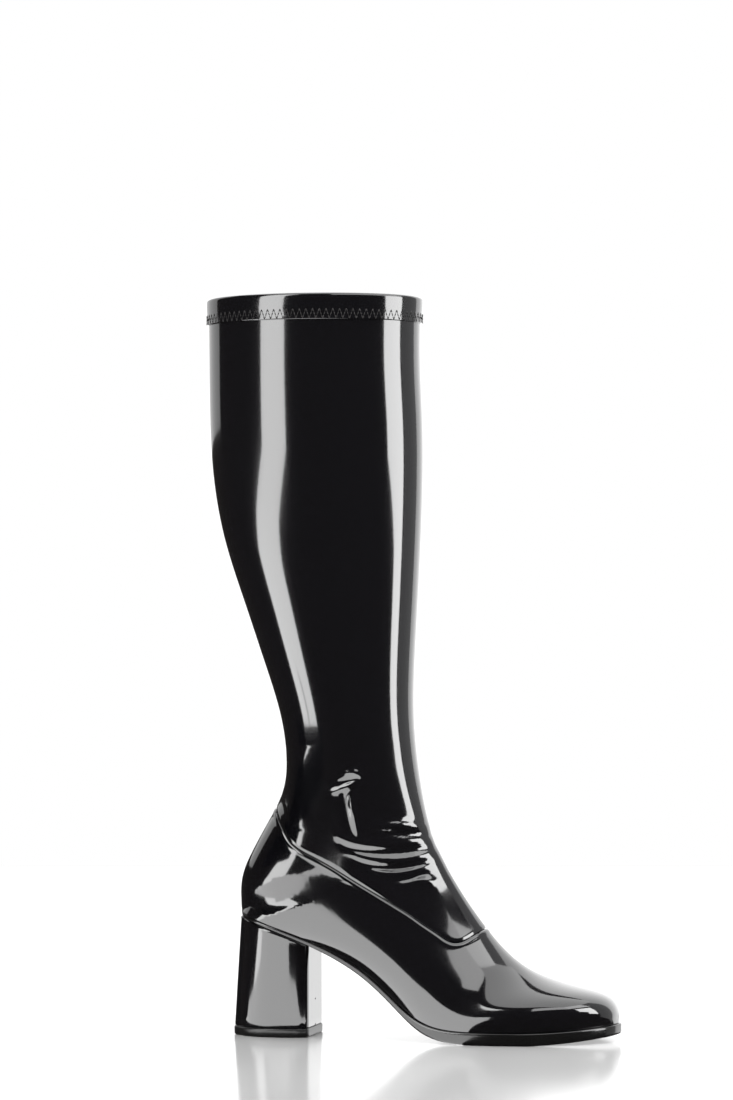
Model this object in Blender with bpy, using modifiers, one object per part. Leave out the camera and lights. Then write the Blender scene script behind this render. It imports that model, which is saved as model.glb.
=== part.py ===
# Go-go boot, right foot, standing empty on its sole: toe along +X, outer side along -Y, floor at z = 0
import math

import bpy
import bmesh
import numpy as np

# Driving sizes, in metres
HEIGHT = 0.4585
SOLE_LENGTH = 0.245
BALL_WIDTH = 0.0845
HEEL_BACK_X = -0.1133
UPPER_WALL = 0.0016
SHAFT_WALL = 0.0012
GAP = 0.0003
CUFF_BAND = 0.0160
CUFF_LAYER = 0.0010
RIM_FOLD = 0.0012
SOLE_EDGE = 0.0075
SOLE_LIP = 0.0014
INSOLE_THICK = 0.0020
TOP_PIECE_THICK = 0.0055
BREAST_AT = 0.211

# Leg rings from the collar down to the ring that runs from the instep to the back of the heel seat
# (x as a share of the sole length from the heel's back, z of the height, half width of the ball width)
LEG_COLUMNS = ("front_x", "front_z", "back_x", "back_z", "half", "widest", "upper_power")
LEG = (
    (0.4850, 1.0000, -0.0670, 1.0000, 0.560, 0.50, 2.00),
    (0.4830, 0.9160, -0.0655, 0.9160, 0.560, 0.50, 2.00),
    (0.4890, 0.8350, -0.0630, 0.8350, 0.556, 0.50, 2.00),
    (0.4900, 0.7550, -0.0530, 0.7550, 0.545, 0.50, 2.00),
    (0.4850, 0.6720, -0.0235, 0.6720, 0.522, 0.50, 2.00),
    (0.4775, 0.5910, 0.0260, 0.5910, 0.487, 0.50, 2.00),
    (0.4695, 0.5110, 0.0775, 0.5110, 0.450, 0.50, 2.00),
    (0.4670, 0.4430, 0.1190, 0.4420, 0.420, 0.50, 2.00),
    (0.4740, 0.3880, 0.1370, 0.3850, 0.400, 0.50, 2.00),
    (0.4850, 0.3450, 0.1300, 0.3350, 0.391, 0.50, 2.00),
    (0.4965, 0.3120, 0.0870, 0.2880, 0.385, 0.50, 2.00),
    (0.5080, 0.2870, 0.0455, 0.2480, 0.381, 0.50, 2.00),
    (0.5175, 0.2700, 0.0190, 0.2110, 0.378, 0.49, 1.98),
    (0.5272, 0.2580, 0.0185, 0.1700, 0.375, 0.47, 1.96),
)

# Foot arches from that ring on to the toe, standing on the feather line where upper and sole meet
# (foot_x, side edges and widest half widths; the edges and halves are shares of the ball width)
FOOT_COLUMNS = (
    "top_x",
    "top_z",
    "foot_x",
    "outer_edge",
    "inner_edge",
    "outer_half",
    "inner_half",
    "ridge",
    "widest",
    "upper_power",
)
FOOT = (
    (0.5272, 0.2580, 0.0185, 0.000, 0.000, 0.375, 0.375, 0.000, 0.47, 1.96),
    (0.5360, 0.2490, 0.0270, 0.112, 0.112, 0.376, 0.376, 0.000, 0.46, 1.94),
    (0.5460, 0.2390, 0.0500, 0.212, 0.212, 0.377, 0.376, 0.000, 0.44, 1.92),
    (0.5590, 0.2260, 0.0850, 0.277, 0.276, 0.379, 0.377, 0.000, 0.42, 1.90),
    (0.5805, 0.2070, 0.1350, 0.310, 0.308, 0.382, 0.377, 0.000, 0.40, 1.88),
    (0.6100, 0.1830, 0.2020, 0.316, 0.310, 0.388, 0.375, 0.000, 0.38, 1.86),
    (0.6470, 0.1560, 0.2850, 0.304, 0.290, 0.400, 0.371, 0.002, 0.36, 1.84),
    (0.6870, 0.1300, 0.3700, 0.310, 0.272, 0.420, 0.374, 0.005, 0.34, 1.84),
    (0.7290, 0.1085, 0.4550, 0.352, 0.284, 0.448, 0.392, 0.010, 0.32, 1.86),
    (0.7730, 0.0930, 0.5450, 0.430, 0.340, 0.476, 0.424, 0.017, 0.31, 1.90),
    (0.8170, 0.0835, 0.6350, 0.482, 0.416, 0.500, 0.458, 0.026, 0.31, 1.96),
    (0.8590, 0.0770, 0.7200, 0.488, 0.474, 0.500, 0.488, 0.036, 0.32, 2.04),
    (0.8970, 0.0720, 0.7950, 0.454, 0.494, 0.464, 0.504, 0.045, 0.33, 2.10),
    (0.9300, 0.0672, 0.8620, 0.386, 0.470, 0.396, 0.480, 0.053, 0.34, 2.12),
    (0.9580, 0.0612, 0.9160, 0.292, 0.412, 0.302, 0.421, 0.059, 0.36, 2.12),
    (0.9770, 0.0530, 0.9560, 0.186, 0.330, 0.194, 0.337, 0.062, 0.38, 2.10),
    (0.9880, 0.0430, 0.9810, 0.074, 0.226, 0.080, 0.232, 0.064, 0.40, 2.06),
    (0.9925, 0.0330, 0.9915, -0.066, 0.066, -0.066, 0.066, 0.066, 0.42, 2.00),
)

# Height of the feather line and thickness of the sole under it, along the length
FEATHER_COLUMNS = ("x", "feather_z", "sole_thick")
FEATHER = (
    (0.0000, 0.1740, 0.30),
    (0.0185, 0.1700, 0.30),
    (0.1000, 0.1545, 0.30),
    (0.2150, 0.1330, 0.40),
    (0.3100, 0.1090, 0.50),
    (0.3600, 0.0925, 0.55),
    (0.4380, 0.0585, 0.60),
    (0.4950, 0.0340, 0.70),
    (0.5250, 0.0262, 0.82),
    (0.5650, 0.0205, 0.93),
    (0.6300, 0.0175, 1.03),
    (0.7100, 0.0172, 1.03),
    (0.8000, 0.0176, 1.03),
    (0.8750, 0.0192, 0.97),
    (0.9450, 0.0220, 0.90),
    (1.0000, 0.0248, 0.84),
)

# Ankle seam between leg and foot panel, seen from the side, from the notch at the back to the front of the instep
SEAM_COLUMNS = ("x", "z")
SEAM = (
    (0.1065, 0.3160),
    (0.1196, 0.3064),
    (0.1412, 0.2900),
    (0.1571, 0.2780),
    (0.1759, 0.2655),
    (0.2020, 0.2552),
    (0.2392, 0.2454),
    (0.2820, 0.2334),
    (0.3310, 0.2177),
    (0.3759, 0.2035),
    (0.4143, 0.1915),
    (0.4563, 0.1784),
    (0.4910, 0.1671),
    (0.5188, 0.1570),
    (0.5473, 0.1474),
    (0.5665, 0.1405),
    (0.5808, 0.1359),
    (0.5984, 0.1335),
    (0.6147, 0.1350),
    (0.6290, 0.1391),
    (0.6420, 0.1439),
)

# Heel block outline halves from the breast round to the back, at the seat and at the floor
# (along: share from the breast to the back; half: share of the ball width)
HEEL_COLUMNS = ("along", "seat_half", "floor_half")
HEEL = (
    (0.000, 0.215, 0.215),
    (0.012, 0.238, 0.234),
    (0.045, 0.256, 0.250),
    (0.100, 0.268, 0.260),
    (0.220, 0.282, 0.272),
    (0.380, 0.290, 0.280),
    (0.540, 0.280, 0.272),
    (0.690, 0.245, 0.242),
    (0.815, 0.194, 0.194),
    (0.910, 0.136, 0.138),
    (0.975, 0.070, 0.072),
    (1.000, 0.000, 0.000),
)

LAST_LEG = len(LEG) - 1
LAST_ROW = LAST_LEG + len(FOOT) - 1


def natural_spline(xs, ys):
    """Second derivatives of the natural cubic spline through the points."""
    n = len(xs)
    a = np.zeros((n, n))
    b = np.zeros(n)
    a[0, 0] = a[-1, -1] = 1.0
    for i in range(1, n - 1):
        h0 = xs[i] - xs[i - 1]
        h1 = xs[i + 1] - xs[i]
        a[i, i - 1] = h0
        a[i, i] = 2.0 * (h0 + h1)
        a[i, i + 1] = h1
        b[i] = 6.0 * ((ys[i + 1] - ys[i]) / h1 - (ys[i] - ys[i - 1]) / h0)
    return np.linalg.solve(a, b)


class Curve:
    def __init__(self, xs, ys):
        self.xs = [float(v) for v in xs]
        self.ys = [float(v) for v in ys]
        self.bend = natural_spline(self.xs, self.ys)

    def at(self, x):
        x = min(max(x, self.xs[0]), self.xs[-1])
        i = 0
        while i < len(self.xs) - 2 and x > self.xs[i + 1]:
            i += 1
        h = self.xs[i + 1] - self.xs[i]
        p = (self.xs[i + 1] - x) / h
        q = (x - self.xs[i]) / h
        swell = (p ** 3 - p) * self.bend[i] + (q ** 3 - q) * self.bend[i + 1]
        return p * self.ys[i] + q * self.ys[i + 1] + swell * h * h / 6.0


def column(table, names, name):
    index = names.index(name)
    return [row[index] for row in table]


def leg_column(name):
    return column(LEG, LEG_COLUMNS, name)


def foot_column(name):
    return column(FOOT, FOOT_COLUMNS, name)


ROWS = list(range(LAST_ROW + 1))
FOOT_ROWS = list(range(LAST_LEG, LAST_ROW + 1))
LEG_ROWS = list(range(LAST_LEG + 1))

FRONT_X = Curve(ROWS, leg_column("front_x") + foot_column("top_x")[1:])
FRONT_Z = Curve(ROWS, leg_column("front_z") + foot_column("top_z")[1:])
OUTER_HALF = Curve(ROWS, leg_column("half") + foot_column("outer_half")[1:])
INNER_HALF = Curve(ROWS, leg_column("half") + foot_column("inner_half")[1:])
WIDEST = Curve(ROWS, leg_column("widest") + foot_column("widest")[1:])
POWER = Curve(ROWS, leg_column("upper_power") + foot_column("upper_power")[1:])
BACK_X = Curve(LEG_ROWS, leg_column("back_x"))
BACK_Z = Curve(LEG_ROWS, leg_column("back_z"))
FOOT_X = Curve(FOOT_ROWS, foot_column("foot_x"))
OUTER_EDGE = Curve(FOOT_ROWS, foot_column("outer_edge"))
INNER_EDGE = Curve(FOOT_ROWS, foot_column("inner_edge"))
RIDGE = Curve(ROWS, [0.0] * LAST_LEG + foot_column("ridge"))
FEATHER_Z = Curve(column(FEATHER, FEATHER_COLUMNS, "x"), column(FEATHER, FEATHER_COLUMNS, "feather_z"))
SOLE_THICK = Curve(column(FEATHER, FEATHER_COLUMNS, "x"), column(FEATHER, FEATHER_COLUMNS, "sole_thick"))
SEAM_Z = Curve(column(SEAM, SEAM_COLUMNS, "x"), column(SEAM, SEAM_COLUMNS, "z"))
SEAT_HALF = Curve(column(HEEL, HEEL_COLUMNS, "along"), column(HEEL, HEEL_COLUMNS, "seat_half"))


def place_x(share):
    return HEEL_BACK_X + share * SOLE_LENGTH


def foot_end(row):
    """Where a section meets the back line or the feather line: x and z."""
    if row <= LAST_LEG:
        return place_x(BACK_X.at(row)), BACK_Z.at(row) * HEIGHT
    share = FOOT_X.at(row)
    return place_x(share), FEATHER_Z.at(share) * HEIGHT


def boot_point(row, around):
    """A point of the boot's outer surface: row runs collar to toe, around runs outer edge -1, front 0, inner edge 1."""
    top_x = place_x(FRONT_X.at(row))
    top_z = FRONT_Z.at(row) * HEIGHT
    end_x, end_z = foot_end(row)
    outer = around < 0.0
    ridge = RIDGE.at(row)
    if outer:
        half = OUTER_HALF.at(row) + ridge
    else:
        half = INNER_HALF.at(row) - ridge
    edge = 0.0
    if row > LAST_LEG:
        if outer:
            edge = OUTER_EDGE.at(row) + ridge
        else:
            edge = INNER_EDGE.at(row) - ridge
    half = max(half, 1e-6)
    share = min(max(edge / half, 0.0), 0.999)
    widest = WIDEST.at(row)
    power = 2.0 / POWER.at(row)
    turn = abs(around)
    split = 0.5
    if turn <= split:
        angle = 0.5 * math.pi * turn / split
        up = widest + (1.0 - widest) * max(math.cos(angle), 0.0) ** power
        out = half * math.sin(angle) ** power
    else:
        reach = math.sqrt(1.0 - share * share)
        angle = (turn - split) / (1.0 - split) * math.asin(reach)
        up = widest * (1.0 - math.sin(angle) / reach)
        out = half * math.cos(angle)
    if turn >= 1.0:
        up = 0.0
        out = edge
    side = -1.0 if outer else 1.0
    x = end_x + up * (top_x - end_x)
    z = end_z + up * (top_z - end_z)
    y = (ridge + side * out) * BALL_WIDTH
    return np.array((x, y, z))


def seam_line(shift):
    """The seam from the side as points x, z, moved up by the shift and run on past the boot at both ends."""
    first = SEAM[0][0]
    last = SEAM[-1][0]
    count = 34
    points = [(place_x(-0.07), 0.450 * HEIGHT), (place_x(0.074), 0.341 * HEIGHT)]
    for i in range(count):
        share = first + (last - first) * i / (count - 1)
        points.append((place_x(share), SEAM_Z.at(share) * HEIGHT))
    points.append((place_x(0.715), 0.190 * HEIGHT))
    moved = []
    for i, (x, z) in enumerate(points):
        x0, z0 = points[max(i - 1, 0)]
        x1, z1 = points[min(i + 1, len(points) - 1)]
        length = math.hypot(x1 - x0, z1 - z0)
        moved.append((x - (z1 - z0) / length * shift, z + (x1 - x0) / length * shift))
    return moved


def new_collection(name):
    made = bpy.data.collections.new(name)
    bpy.context.scene.collection.children.link(made)
    return made


def new_material(name, colour, roughness, metallic=0.0, coat=0.0):
    material = bpy.data.materials.new(name)
    material.use_nodes = True
    shader = material.node_tree.nodes["Principled BSDF"]
    shader.inputs["Base Color"].default_value = (*colour, 1.0)
    shader.inputs["Roughness"].default_value = roughness
    shader.inputs["Metallic"].default_value = metallic
    shader.inputs["Coat Weight"].default_value = coat
    material.diffuse_color = (*colour, 1.0)
    return material


def object_from(bm, name, collection, material, smooth=True):
    bmesh.ops.recalc_face_normals(bm, faces=bm.faces)
    mesh = bpy.data.meshes.new(name)
    bm.to_mesh(mesh)
    bm.free()
    for polygon in mesh.polygons:
        polygon.use_smooth = smooth
    made = bpy.data.objects.new(name, mesh)
    if material:
        made.data.materials.append(material)
    collection.objects.link(made)
    return made


def sheet(rows, arounds, point):
    """An open sheet whose corners come from point(row index, around)."""
    bm = bmesh.new()
    lines = []
    for i in range(rows):
        lines.append([bm.verts.new(point(i, a)) for a in arounds])
    for i in range(rows - 1):
        for j in range(len(arounds) - 1):
            bm.faces.new((lines[i][j], lines[i][j + 1], lines[i + 1][j + 1], lines[i + 1][j]))
    bmesh.ops.remove_doubles(bm, verts=bm.verts, dist=0.00005)
    return bm


def closed_solid(loops, cap=True):
    """A closed body through loops of equal length."""
    bm = bmesh.new()
    rings = [[bm.verts.new(p) for p in loop] for loop in loops]
    count = len(rings[0])
    for low, high in zip(rings, rings[1:]):
        for j in range(count):
            k = (j + 1) % count
            bm.faces.new((low[j], low[k], high[k], high[j]))
    return bm, rings


def ladder_cap(bm, ring, half):
    """Closes a loop that runs up the outer side and back along the inner side, one rung per station."""
    count = len(ring)
    for j in range(half - 1):
        a = ring[j]
        b = ring[j + 1]
        c = ring[(count - j - 1) % count]
        d = ring[(count - j) % count]
        corners = []
        for corner in (a, b, c, d):
            if corner not in corners:
                corners.append(corner)
        if len(corners) > 2:
            bm.faces.new(corners)


def add_wall(made, thickness):
    """Gives the sheet a wall inward of its outer surface."""
    wall = made.modifiers.new("wall", "SOLIDIFY")
    wall.thickness = thickness
    wall.offset = -1.0
    wall.use_even_offset = True
    wall.use_rim = True
    wall.use_quality_normals = True
    return wall


def spread(count):
    return [-1.0 + 2.0 * i / (count - 1) for i in range(count)]


def seam_cutter(name, above, collection):
    """Block across the whole boot on one side of the seam, half a gap past it."""
    if above:
        line = seam_line(-0.5 * GAP)
        outline = line + [(0.10, 0.50), (-0.20, 0.50), (-0.20, line[0][1])]
    else:
        line = seam_line(0.5 * GAP)
        outline = line + [(0.16, line[-1][1]), (0.16, -0.03), (-0.20, -0.03), (-0.20, line[0][1])]
    bm = bmesh.new()
    near = [bm.verts.new((x, -0.08, z)) for x, z in outline]
    far = [bm.verts.new((x, 0.08, z)) for x, z in outline]
    bm.faces.new(near)
    bm.faces.new(list(reversed(far)))
    for i in range(len(outline)):
        k = (i + 1) % len(outline)
        bm.faces.new((near[i], far[i], far[k], near[k]))
    made = object_from(bm, name, collection, None, smooth=False)
    made.hide_render = True
    made.display_type = "WIRE"
    return made


def cut_away(made, cutter):
    cut = made.modifiers.new("seam", "BOOLEAN")
    cut.operation = "DIFFERENCE"
    cut.solver = "EXACT"
    cut.object = cutter
    return cut


def make_shaft(collection, material):
    """Leg tube from under the cuff down to the ankle seam."""
    top = (RIM_FOLD + GAP) / (HEIGHT * (LEG[0][1] - LEG[1][1]))
    low = 20.4
    steps = 26

    def point(i, around):
        return boot_point(top + (low - top) * i / (steps - 1), around)

    return object_from(sheet(steps, spread(33), point), "shaft", collection, material)


def make_upper(collection, material):
    """Foot panel: vamp and counter in one, from the ankle seam to the feather line."""
    high = 8.6
    heel_steps = 5
    toe_steps = 23
    rows = [high + (LAST_LEG - high) * i / heel_steps for i in range(heel_steps)]
    rows += [LAST_LEG + (LAST_ROW - LAST_LEG) * i / (toe_steps - 1) for i in range(toe_steps)]

    def point(i, around):
        return boot_point(rows[i], around)

    return object_from(sheet(len(rows), spread(33), point), "upper", collection, material)


def make_cuff(collection, material):
    """Hem turned over the collar's edge: one folded band outside and inside the leg."""
    outer = GAP + CUFF_LAYER
    inner = -SHAFT_WALL - GAP - CUFF_LAYER
    profile = (
        (GAP, -CUFF_BAND),
        (outer - 0.0002, -CUFF_BAND),
        (outer, -CUFF_BAND + 0.0003),
        (outer, -0.0012),
        (outer - 0.0003, -0.0004),
        (outer - 0.0010, 0.0),
        (inner + 0.0010, 0.0),
        (inner + 0.0003, -0.0004),
        (inner, -0.0012),
        (inner, -CUFF_BAND),
        (inner + CUFF_LAYER, -CUFF_BAND),
        (inner + CUFF_LAYER, -RIM_FOLD),
        (GAP, -RIM_FOLD),
    )
    arounds = spread(33)[:-1]
    bm = bmesh.new()
    rings = []
    for around in arounds:
        ring = []
        for out, down in profile:
            row = -down / (HEIGHT * (LEG[0][1] - LEG[1][1]))
            base = boot_point(row, around)
            ahead = boot_point(row, around + 0.01)
            behind = boot_point(row, around - 0.01 if around > -1.0 else 0.99)
            across = ahead - behind
            side = np.array((across[1], -across[0], 0.0))
            side = side / np.linalg.norm(side)
            centre = boot_point(row, 0.0) + boot_point(row, 1.0)
            if np.dot(side, base - 0.5 * centre) < 0.0:
                side = -side
            ring.append(bm.verts.new(base + side * out))
        rings.append(ring)
    for i in range(len(rings)):
        here = rings[i]
        there = rings[(i + 1) % len(rings)]
        for j in range(len(profile)):
            k = (j + 1) % len(profile)
            bm.faces.new((here[j], there[j], there[k], here[k]))
    return object_from(bm, "cuff", collection, material)


def feather_outline(stations, grow):
    """Plan outline at the feather line, grown sideways: outer side heel to toe, then inner side back."""
    rows = [LAST_LEG + (LAST_ROW - LAST_LEG) * i / (stations - 1) for i in range(stations)]
    outer = [boot_point(row, -1.0)[:2] for row in rows]
    inner = [boot_point(row, 1.0)[:2] for row in rows]
    loop = outer + inner[-2:0:-1]
    count = len(loop)
    grown = []
    for j in range(count):
        before = loop[(j - 1) % count]
        after = loop[(j + 1) % count]
        along = after - before
        side = np.array((along[1], -along[0]))
        side = side / np.linalg.norm(side)
        share = (loop[j][0] - HEEL_BACK_X) / SOLE_LENGTH
        grown.append(loop[j] + side * grow(share))
    return grown


def plate(stations, grows, heights, name, collection, material):
    """A plate between stacked outlines; each height is a function of the share along the length."""
    loops = []
    for grow, height in zip(grows, heights):
        outline = feather_outline(stations, grow)
        loop = []
        for x, y in outline:
            share = (x - HEEL_BACK_X) / SOLE_LENGTH
            loop.append((x, y, height(share)))
        loops.append(loop)
    bm, rings = closed_solid(loops)
    ladder_cap(bm, rings[0], stations)
    ladder_cap(bm, rings[-1], stations)
    bmesh.ops.triangulate(bm, faces=[f for f in bm.faces if len(f.verts) > 3])
    return object_from(bm, name, collection, material)


def sole_top(share):
    return FEATHER_Z.at(share) * HEIGHT - GAP


def sole_bottom(share):
    depth = sole_top(share) - SOLE_THICK.at(share) * SOLE_EDGE
    return max(depth, 0.0)


def lip(share):
    """How far the sole's edge stands out past the upper."""
    if share < 0.24:
        return -0.0003
    rise = min(max((share - 0.24) / 0.30, 0.0), 1.0)
    return -0.0003 + (SOLE_LIP + 0.0003) * rise * rise * (3.0 - 2.0 * rise)


def make_outsole(collection, material):
    """One sole from toe to heel seat, with the thicker edge at the forefoot."""
    round_off = 0.0007

    def near_top(share):
        return sole_top(share) - 0.0006

    def near_bottom(share):
        return sole_bottom(share) + 0.0008

    def lip_in(share):
        return lip(share) - round_off

    grows = (lambda s: lip(s) - 0.0004, lip, lip, lip_in)
    heights = (sole_top, near_top, near_bottom, sole_bottom)
    return plate(35, grows, heights, "outsole", collection, material)


def make_insole(collection, material):
    """Board and sock inside the upper, lying on the sole."""
    inset = -(UPPER_WALL + GAP + 0.0040)

    def low(share):
        return FEATHER_Z.at(share) * HEIGHT + 0.0002

    def high(share):
        return low(share) + INSOLE_THICK

    grows = (lambda s: inset, lambda s: inset)
    return plate(35, grows, (low, high), "insole", collection, material)


def heel_outline(height_share, grow=0.0):
    """Heel block outline at this share of its height, 0 at the floor and 1 at the seat."""
    back_floor = 0.0
    back_seat = 0.0175
    back = back_floor + (back_seat - back_floor) * height_share
    breast_x = place_x(BREAST_AT)
    back_x = place_x(back) - grow
    points = []
    for along, seat_half, floor_half in HEEL:
        half = (floor_half + (seat_half - floor_half) * height_share) * BALL_WIDTH + (grow if along < 1.0 else 0.0)
        points.append((breast_x + grow + (back_x - breast_x - grow) * along, half))
    outer = [(x, -half) for x, half in points]
    inner = [(x, half) for x, half in points[-2::-1]]
    return outer + inner


def heel_plate(levels, name, collection, material):
    loops = []
    for outline, height in levels:
        loops.append([(x, y, height(x)) for x, y in outline])
    bm, rings = closed_solid(loops)
    half = len(HEEL)
    count = len(rings[0])
    for ring in (rings[0], rings[-1]):
        for j in range(half - 1):
            a = ring[j]
            b = ring[j + 1]
            c = ring[count - 2 - j]
            d = ring[count - 1 - j]
            corners = []
            for corner in (a, b, c, d):
                if corner not in corners:
                    corners.append(corner)
            if len(corners) > 2:
                bm.faces.new(corners)
    bmesh.ops.triangulate(bm, faces=[f for f in bm.faces if len(f.verts) > 3])
    return object_from(bm, name, collection, material)


def make_heel(collection, material):
    """Covered block under the seat."""
    floor_z = TOP_PIECE_THICK + GAP

    def seat_z(x):
        share = (x - HEEL_BACK_X) / SOLE_LENGTH
        return sole_bottom(max(share, 0.0)) - GAP

    levels = []
    for share in (0.0, 0.02, 0.35, 0.70, 0.985, 1.0):
        shrink = -0.0004 if share in (0.0, 1.0) else 0.0

        def height(x, share=share):
            return floor_z + (seat_z(x) - floor_z) * share

        levels.append((heel_outline(share, shrink), height))
    return heel_plate(levels, "heel", collection, material)


def make_top_piece(collection, material):
    """Hard lift the heel walks on."""
    levels = []
    for z, shrink in ((0.0, -0.0005), (0.0006, 0.0), (TOP_PIECE_THICK - 0.0004, 0.0), (TOP_PIECE_THICK, -0.0003)):

        def height(x, z=z):
            return z

        levels.append((heel_outline(0.0, shrink), height))
    return heel_plate(levels, "heel_top_piece", collection, material)


def main():
    for old in list(bpy.data.objects):
        bpy.data.objects.remove(old, do_unlink=True)
    boot = new_collection("go_go_boot")
    patent = new_material("black patent", (0.010, 0.010, 0.012), 0.12, coat=0.6)
    stretch = new_material("black stretch patent", (0.011, 0.011, 0.013), 0.14, coat=0.6)
    sole = new_material("black sole", (0.030, 0.028, 0.027), 0.30)
    lift = new_material("black lift", (0.020, 0.020, 0.020), 0.45)
    sock = new_material("black sock", (0.030, 0.030, 0.030), 0.75)
    cutters = new_collection("cutters")
    cutters.hide_render = True
    below = seam_cutter("below_seam", False, cutters)
    above = seam_cutter("above_seam", True, cutters)
    shaft = make_shaft(boot, stretch)
    add_wall(shaft, SHAFT_WALL)
    cut_away(shaft, below)
    upper = make_upper(boot, patent)
    add_wall(upper, UPPER_WALL)
    cut_away(upper, above)
    make_cuff(boot, stretch)
    make_insole(boot, sock)
    make_outsole(boot, sole)
    make_heel(boot, patent)
    make_top_piece(boot, lift)


if __name__ == "__main__":
    main()
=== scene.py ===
import math

import bmesh
import bpy
import numpy as np
from bpy.props import FloatProperty, FloatVectorProperty, IntProperty, PointerProperty
from bpy.types import Operator, Panel, PropertyGroup
from mathutils import Matrix, Vector, noise


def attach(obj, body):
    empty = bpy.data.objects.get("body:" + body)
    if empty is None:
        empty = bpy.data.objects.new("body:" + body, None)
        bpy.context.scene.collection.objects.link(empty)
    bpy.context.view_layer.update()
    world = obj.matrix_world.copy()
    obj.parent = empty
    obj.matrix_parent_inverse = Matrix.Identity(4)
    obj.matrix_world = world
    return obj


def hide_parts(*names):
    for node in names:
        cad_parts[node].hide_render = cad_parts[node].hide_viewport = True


bl_info = {
    "name": "Go-go boot",
    "version": (1, 0, 0),
    "blender": (4, 5, 0),
    "location": "3D View > Sidebar > Boot",
    "description": "Builds a black stretch patent go-go boot with a block heel",
    "category": "Object",
}

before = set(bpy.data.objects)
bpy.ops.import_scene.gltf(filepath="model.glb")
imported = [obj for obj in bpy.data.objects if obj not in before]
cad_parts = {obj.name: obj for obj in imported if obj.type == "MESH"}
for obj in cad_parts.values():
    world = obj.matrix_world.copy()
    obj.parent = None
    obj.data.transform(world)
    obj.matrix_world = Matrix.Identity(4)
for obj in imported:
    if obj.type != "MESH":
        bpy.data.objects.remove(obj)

# Form of the boot, as shares of the sole length, the height and the ball width
LEG_COLUMNS = ("front_x", "front_z", "back_x", "back_z", "half", "widest", "upper_power")
LEG = (
    (0.4850, 1.0000, -0.0670, 1.0000, 0.560, 0.50, 2.00),
    (0.4830, 0.9160, -0.0655, 0.9160, 0.560, 0.50, 2.00),
    (0.4890, 0.8350, -0.0630, 0.8350, 0.556, 0.50, 2.00),
    (0.4900, 0.7550, -0.0530, 0.7550, 0.545, 0.50, 2.00),
    (0.4850, 0.6720, -0.0235, 0.6720, 0.522, 0.50, 2.00),
    (0.4775, 0.5910, 0.0260, 0.5910, 0.487, 0.50, 2.00),
    (0.4695, 0.5110, 0.0775, 0.5110, 0.450, 0.50, 2.00),
    (0.4670, 0.4430, 0.1190, 0.4420, 0.420, 0.50, 2.00),
    (0.4740, 0.3880, 0.1370, 0.3850, 0.400, 0.50, 2.00),
    (0.4850, 0.3450, 0.1300, 0.3350, 0.391, 0.50, 2.00),
    (0.4965, 0.3120, 0.0870, 0.2880, 0.385, 0.50, 2.00),
    (0.5080, 0.2870, 0.0455, 0.2480, 0.381, 0.50, 2.00),
    (0.5175, 0.2700, 0.0190, 0.2110, 0.378, 0.49, 1.98),
    (0.5272, 0.2580, 0.0185, 0.1700, 0.375, 0.47, 1.96),
)
FOOT_COLUMNS = (
    "top_x",
    "top_z",
    "foot_x",
    "outer_edge",
    "inner_edge",
    "outer_half",
    "inner_half",
    "ridge",
    "widest",
    "upper_power",
)
FOOT = (
    (0.5272, 0.2580, 0.0185, 0.000, 0.000, 0.375, 0.375, 0.000, 0.47, 1.96),
    (0.5360, 0.2490, 0.0270, 0.112, 0.112, 0.376, 0.376, 0.000, 0.46, 1.94),
    (0.5460, 0.2390, 0.0500, 0.212, 0.212, 0.377, 0.376, 0.000, 0.44, 1.92),
    (0.5590, 0.2260, 0.0850, 0.277, 0.276, 0.379, 0.377, 0.000, 0.42, 1.90),
    (0.5805, 0.2070, 0.1350, 0.310, 0.308, 0.382, 0.377, 0.000, 0.40, 1.88),
    (0.6100, 0.1830, 0.2020, 0.316, 0.310, 0.388, 0.375, 0.000, 0.38, 1.86),
    (0.6470, 0.1560, 0.2850, 0.304, 0.290, 0.400, 0.371, 0.002, 0.36, 1.84),
    (0.6870, 0.1300, 0.3700, 0.310, 0.272, 0.420, 0.374, 0.005, 0.34, 1.84),
    (0.7290, 0.1085, 0.4550, 0.352, 0.284, 0.448, 0.392, 0.010, 0.32, 1.86),
    (0.7730, 0.0930, 0.5450, 0.430, 0.340, 0.476, 0.424, 0.017, 0.31, 1.90),
    (0.8170, 0.0835, 0.6350, 0.482, 0.416, 0.500, 0.458, 0.026, 0.31, 1.96),
    (0.8590, 0.0770, 0.7200, 0.488, 0.474, 0.500, 0.488, 0.036, 0.32, 2.04),
    (0.8970, 0.0720, 0.7950, 0.454, 0.494, 0.464, 0.504, 0.045, 0.33, 2.10),
    (0.9300, 0.0672, 0.8620, 0.386, 0.470, 0.396, 0.480, 0.053, 0.34, 2.12),
    (0.9580, 0.0612, 0.9160, 0.292, 0.412, 0.302, 0.421, 0.059, 0.36, 2.12),
    (0.9770, 0.0530, 0.9560, 0.186, 0.330, 0.194, 0.337, 0.062, 0.38, 2.10),
    (0.9880, 0.0430, 0.9810, 0.074, 0.226, 0.080, 0.232, 0.064, 0.40, 2.06),
    (0.9925, 0.0330, 0.9915, -0.066, 0.066, -0.066, 0.066, 0.066, 0.42, 2.00),
)
FEATHER_COLUMNS = ("x", "feather_z", "sole_thick")
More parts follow.
